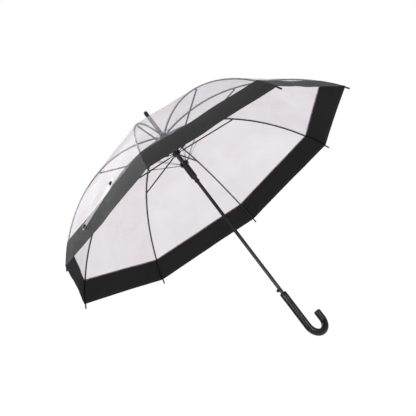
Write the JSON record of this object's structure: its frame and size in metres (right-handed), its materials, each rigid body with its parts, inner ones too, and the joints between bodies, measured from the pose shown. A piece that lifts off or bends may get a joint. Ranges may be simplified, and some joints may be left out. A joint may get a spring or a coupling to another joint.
{
  "type": "stick umbrella",
  "caption": "Clear dome stick umbrella with a black border, ribs, stretchers, a spring-driven double runner, release button and hooked handle.",
  "frame": {"origin": "on the shaft's axis, level with the lowest point of the hook, with the umbrella upright and open", "axes": "+Z along the shaft towards the ferrule, +X along rib 1"},
  "size_m": [0.9836, 0.9836, 0.826],
  "materials": {
    "shaft_enamel": "gloss black enamel on a steel tube",
    "rib_enamel": "satin black enamel on rolled steel channel",
    "link_wire": "dark zinc wire",
    "spring_steel": "dark spring steel",
    "black_plastic": "moulded black plastic",
    "runner_plastic": "glossy moulded black plastic",
    "handle_plastic": "satin black lacquered plastic",
    "snap_plastic": "black plastic snap",
    "clear_film": "clear, slightly milky plastic film with an opaque black border"
  },
  "bodies": {
    "root": {"shaft_tube": "shaft_enamel", "ferrule": "black_plastic", "top_notch": "black_plastic", "notch_wire": "spring_steel", "handle": "handle_plastic", "handle_ring": "handle_plastic", "button_spring": "spring_steel", "canopy_crown": "clear_film"},
    "release_button": {"release_button": "black_plastic"},
    "upper_runner": {"upper_runner": "runner_plastic", "upper_runner_wire": "spring_steel", "runner_spring": "spring_steel"},
    "lower_runner": {"lower_runner": "runner_plastic", "lower_runner_wire": "spring_steel"},
    "rib_inner_1": {"rib_inner_1": "rib_enamel"},
    "rib_outer_1": {"rib_outer_1": "rib_enamel", "canopy_gore_1": "clear_film", "closing_strap": "clear_film", "strap_snaps": "snap_plastic"},
    "stretcher_1": {"stretcher_1": "rib_enamel"},
    "runner_link_1": {"runner_link_1": "link_wire"},
    "rib_inner_2": {"rib_inner_2": "rib_enamel"},
    "rib_outer_2": {"rib_outer_2": "rib_enamel", "canopy_gore_2": "clear_film"},
    "stretcher_2": {"stretcher_2": "rib_enamel"},
    "runner_link_2": {"runner_link_2": "link_wire"},
    "rib_inner_3": {"rib_inner_3": "rib_enamel"},
    "rib_outer_3": {"rib_outer_3": "rib_enamel", "canopy_gore_3": "clear_film"},
    "stretcher_3": {"stretcher_3": "rib_enamel"},
    "runner_link_3": {"runner_link_3": "link_wire"},
    "rib_inner_4": {"rib_inner_4": "rib_enamel"},
    "rib_outer_4": {"rib_outer_4": "rib_enamel", "canopy_gore_4": "clear_film"},
    "stretcher_4": {"stretcher_4": "rib_enamel"},
    "runner_link_4": {"runner_link_4": "link_wire"},
    "rib_inner_5": {"rib_inner_5": "rib_enamel"},
    "rib_outer_5": {"rib_outer_5": "rib_enamel", "canopy_gore_5": "clear_film"},
    "stretcher_5": {"stretcher_5": "rib_enamel"},
    "runner_link_5": {"runner_link_5": "link_wire"},
    "rib_inner_6": {"rib_inner_6": "rib_enamel"},
    "rib_outer_6": {"rib_outer_6": "rib_enamel", "canopy_gore_6": "clear_film"},
    "stretcher_6": {"stretcher_6": "rib_enamel"},
    "runner_link_6": {"runner_link_6": "link_wire"},
    "rib_inner_7": {"rib_inner_7": "rib_enamel"},
    "rib_outer_7": {"rib_outer_7": "rib_enamel", "canopy_gore_7": "clear_film"},
    "stretcher_7": {"stretcher_7": "rib_enamel"},
    "runner_link_7": {"runner_link_7": "link_wire"},
    "rib_inner_8": {"rib_inner_8": "rib_enamel"},
    "rib_outer_8": {"rib_outer_8": "rib_enamel", "canopy_gore_8": "clear_film"},
    "stretcher_8": {"stretcher_8": "rib_enamel"},
    "runner_link_8": {"runner_link_8": "link_wire"}
  },
  "joints": [
    {"name": "canopy_fold", "type": "hinge", "parent": "root", "child": "rib_inner_1", "pos_m": [0.009, 0, 0.728], "axis": [0, 1, 0], "range_deg": [0, 79.6], "stiffness_Nm_per_rad": 0.8, "springref_deg": -91.67},
    {"name": "rib_1_straighten", "type": "hinge", "parent": "rib_inner_1", "child": "rib_outer_1", "pos_m": [0.24769, 0, 0.69863], "axis": [0, 1, 0], "range_deg": [-32.02, 0], "deforming": ["canopy_gore_1", "closing_strap", "strap_snaps"]},
    {"name": "stretcher_1_fold", "type": "hinge", "parent": "rib_inner_1", "child": "stretcher_1", "pos_m": [0.246, 0, 0.695], "axis": [0, 1, 0], "range_deg": [-159.25, 0]},
    {"name": "runner_link_1_fold", "type": "hinge", "parent": "stretcher_1", "child": "runner_link_1", "pos_m": [0.08824, 0, 0.67303], "axis": [0, 1, 0], "range_deg": [0, 23.84]},
    {"name": "rib_2_fold", "type": "hinge", "parent": "root", "child": "rib_inner_2", "pos_m": [0.00636, -0.00636, 0.728], "axis": [0.7071, 0.7071, 0], "range_deg": [0, 79.6]},
    {"name": "rib_2_straighten", "type": "hinge", "parent": "rib_inner_2", "child": "rib_outer_2", "pos_m": [0.17514, -0.17514, 0.69863], "axis": [0.7071, 0.7071, 0], "range_deg": [-32.02, 0], "deforming": ["canopy_gore_2"]},
    {"name": "stretcher_2_fold", "type": "hinge", "parent": "rib_inner_2", "child": "stretcher_2", "pos_m": [0.17395, -0.17395, 0.695], "axis": [0.7071, 0.7071, 0], "range_deg": [-159.25, 0]},
    {"name": "runner_link_2_fold", "type": "hinge", "parent": "stretcher_2", "child": "runner_link_2", "pos_m": [0.06239, -0.06239, 0.67303], "axis": [0.7071, 0.7071, 0], "range_deg": [0, 23.84]},
    {"name": "rib_3_fold", "type": "hinge", "parent": "root", "child": "rib_inner_3", "pos_m": [0, -0.009, 0.728], "axis": [1, 0, 0], "range_deg": [0, 79.6]},
    {"name": "rib_3_straighten", "type": "hinge", "parent": "rib_inner_3", "child": "rib_outer_3", "pos_m": [0, -0.24769, 0.69863], "axis": [1, 0, 0], "range_deg": [-32.02, 0], "deforming": ["canopy_gore_3"]},
    {"name": "stretcher_3_fold", "type": "hinge", "parent": "rib_inner_3", "child": "stretcher_3", "pos_m": [0, -0.246, 0.695], "axis": [1, 0, 0], "range_deg": [-159.25, 0]},
    {"name": "runner_link_3_fold", "type": "hinge", "parent": "stretcher_3", "child": "runner_link_3", "pos_m": [0, -0.08824, 0.67303], "axis": [1, 0, 0], "range_deg": [0, 23.84]},
    {"name": "rib_4_fold", "type": "hinge", "parent": "root", "child": "rib_inner_4", "pos_m": [-0.00636, -0.00636, 0.728], "axis": [0.7071, -0.7071, 0], "range_deg": [0, 79.6]},
    {"name": "rib_4_straighten", "type": "hinge", "parent": "rib_inner_4", "child": "rib_outer_4", "pos_m": [-0.17514, -0.17514, 0.69863], "axis": [0.7071, -0.7071, 0], "range_deg": [-32.02, 0], "deforming": ["canopy_gore_4"]},
    {"name": "stretcher_4_fold", "type": "hinge", "parent": "rib_inner_4", "child": "stretcher_4", "pos_m": [-0.17395, -0.17395, 0.695], "axis": [0.7071, -0.7071, 0], "range_deg": [-159.25, 0]},
    {"name": "runner_link_4_fold", "type": "hinge", "parent": "stretcher_4", "child": "runner_link_4", "pos_m": [-0.06239, -0.06239, 0.67303], "axis": [0.7071, -0.7071, 0], "range_deg": [0, 23.84]},
    {"name": "rib_5_fold", "type": "hinge", "parent": "root", "child": "rib_inner_5", "pos_m": [-0.009, 0, 0.728], "axis": [0, -1, 0], "range_deg": [0, 79.6]},
    {"name": "rib_5_straighten", "type": "hinge", "parent": "rib_inner_5", "child": "rib_outer_5", "pos_m": [-0.24769, 0, 0.69863], "axis": [0, -1, 0], "range_deg": [-32.02, 0], "deforming": ["canopy_gore_5"]},
    {"name": "stretcher_5_fold", "type": "hinge", "parent": "rib_inner_5", "child": "stretcher_5", "pos_m": [-0.246, 0, 0.695], "axis": [0, -1, 0], "range_deg": [-159.25, 0]},
    {"name": "runner_link_5_fold", "type": "hinge", "parent": "stretcher_5", "child": "runner_link_5", "pos_m": [-0.08824, 0, 0.67303], "axis": [0, -1, 0], "range_deg": [0, 23.84]},
    {"name": "rib_6_fold", "type": "hinge", "parent": "root", "child": "rib_inner_6", "pos_m": [-0.00636, 0.00636, 0.728], "axis": [-0.7071, -0.7071, 0], "range_deg": [0, 79.6]},
    {"name": "rib_6_straighten", "type": "hinge", "parent": "rib_inner_6", "child": "rib_outer_6", "pos_m": [-0.17514, 0.17514, 0.69863], "axis": [-0.7071, -0.7071, 0], "range_deg": [-32.02, 0], "deforming": ["canopy_gore_6"]},
    {"name": "stretcher_6_fold", "type": "hinge", "parent": "rib_inner_6", "child": "stretcher_6", "pos_m": [-0.17395, 0.17395, 0.695], "axis": [-0.7071, -0.7071, 0], "range_deg": [-159.25, 0]},
    {"name": "runner_link_6_fold", "type": "hinge", "parent": "stretcher_6", "child": "runner_link_6", "pos_m": [-0.06239, 0.06239, 0.67303], "axis": [-0.7071, -0.7071, 0], "range_deg": [0, 23.84]},
    {"name": "rib_7_fold", "type": "hinge", "parent": "root", "child": "rib_inner_7", "pos_m": [0, 0.009, 0.728], "axis": [-1, 0, 0], "range_deg": [0, 79.6]},
    {"name": "rib_7_straighten", "type": "hinge", "parent": "rib_inner_7", "child": "rib_outer_7", "pos_m": [0, 0.24769, 0.69863], "axis": [-1, 0, 0], "range_deg": [-32.02, 0], "deforming": ["canopy_gore_7"]},
    {"name": "stretcher_7_fold", "type": "hinge", "parent": "rib_inner_7", "child": "stretcher_7", "pos_m": [0, 0.246, 0.695], "axis": [-1, 0, 0], "range_deg": [-159.25, 0]},
    {"name": "runner_link_7_fold", "type": "hinge", "parent": "stretcher_7", "child": "runner_link_7", "pos_m": [0, 0.08824, 0.67303], "axis": [-1, 0, 0], "range_deg": [0, 23.84]},
    {"name": "rib_8_fold", "type": "hinge", "parent": "root", "child": "rib_inner_8", "pos_m": [0.00636, 0.00636, 0.728], "axis": [-0.7071, 0.7071, 0], "range_deg": [0, 79.6]},
    {"name": "rib_8_straighten", "type": "hinge", "parent": "rib_inner_8", "child": "rib_outer_8", "pos_m": [0.17514, 0.17514, 0.69863], "axis": [-0.7071, 0.7071, 0], "range_deg": [-32.02, 0], "deforming": ["canopy_gore_8"]},
    {"name": "stretcher_8_fold", "type": "hinge", "parent": "rib_inner_8", "child": "stretcher_8", "pos_m": [0.17395, 0.17395, 0.695], "axis": [-0.7071, 0.7071, 0], "range_deg": [-159.25, 0]},
    {"name": "runner_link_8_fold", "type": "hinge", "parent": "stretcher_8", "child": "runner_link_8", "pos_m": [0.06239, 0.06239, 0.67303], "axis": [-0.7071, 0.7071, 0], "range_deg": [0, 23.84]},
    {"name": "upper_runner_hinge", "type": "hinge", "parent": "stretcher_1", "child": "upper_runner", "pos_m": [0.009, 0, 0.662], "axis": [0, 1, 0], "range_deg": [0, 79.65]},
    {"name": "lower_runner_slide", "type": "slide", "parent": "upper_runner", "child": "lower_runner", "axis": [0, 0, 1], "range_m": [0, 0.02731], "deforming": ["runner_spring"]},
    {"name": "button_push", "type": "slide", "parent": "root", "child": "release_button", "axis": [-0.9848, -0.1736, 0], "range_m": [0, 0.004], "stiffness_N_per_m": 300, "springref_m": -0.002, "deforming": ["button_spring"]}
  ],
  "couplings": [
    {"joint": "rib_1_straighten", "follows": "canopy_fold", "ratio": -0.4016},
    {"joint": "stretcher_1_fold", "follows": "canopy_fold", "ratio": -2},
    {"joint": "runner_link_1_fold", "follows": "canopy_fold", "ratio": 0.29883},
    {"joint": "rib_2_fold", "follows": "canopy_fold", "ratio": 1},
    {"joint": "rib_2_straighten", "follows": "canopy_fold", "ratio": -0.4016},
    {"joint": "stretcher_2_fold", "follows": "canopy_fold", "ratio": -2},
    {"joint": "runner_link_2_fold", "follows": "canopy_fold", "ratio": 0.29883},
    {"joint": "rib_3_fold", "follows": "canopy_fold", "ratio": 1},
    {"joint": "rib_3_straighten", "follows": "canopy_fold", "ratio": -0.4016},
    {"joint": "stretcher_3_fold", "follows": "canopy_fold", "ratio": -2},
    {"joint": "runner_link_3_fold", "follows": "canopy_fold", "ratio": 0.29883},
    {"joint": "rib_4_fold", "follows": "canopy_fold", "ratio": 1},
    {"joint": "rib_4_straighten", "follows": "canopy_fold", "ratio": -0.4016},
    {"joint": "stretcher_4_fold", "follows": "canopy_fold", "ratio": -2},
    {"joint": "runner_link_4_fold", "follows": "canopy_fold", "ratio": 0.29883},
    {"joint": "rib_5_fold", "follows": "canopy_fold", "ratio": 1},
    {"joint": "rib_5_straighten", "follows": "canopy_fold", "ratio": -0.4016},
    {"joint": "stretcher_5_fold", "follows": "canopy_fold", "ratio": -2},
    {"joint": "runner_link_5_fold", "follows": "canopy_fold", "ratio": 0.29883},
    {"joint": "rib_6_fold", "follows": "canopy_fold", "ratio": 1},
    {"joint": "rib_6_straighten", "follows": "canopy_fold", "ratio": -0.4016},
    {"joint": "stretcher_6_fold", "follows": "canopy_fold", "ratio": -2},
    {"joint": "runner_link_6_fold", "follows": "canopy_fold", "ratio": 0.29883},
    {"joint": "rib_7_fold", "follows": "canopy_fold", "ratio": 1},
    {"joint": "rib_7_straighten", "follows": "canopy_fold", "ratio": -0.4016},
    {"joint": "stretcher_7_fold", "follows": "canopy_fold", "ratio": -2},
    {"joint": "runner_link_7_fold", "follows": "canopy_fold", "ratio": 0.29883},
    {"joint": "rib_8_fold", "follows": "canopy_fold", "ratio": 1},
    {"joint": "rib_8_straighten", "follows": "canopy_fold", "ratio": -0.4016},
    {"joint": "stretcher_8_fold", "follows": "canopy_fold", "ratio": -2},
    {"joint": "runner_link_8_fold", "follows": "canopy_fold", "ratio": 0.29883},
    {"joint": "upper_runner_hinge", "follows": "canopy_fold", "ratio": 1},
    {"joint": "lower_runner_slide", "follows": "canopy_fold", "m_per_rad": 0.019583}
  ]
}
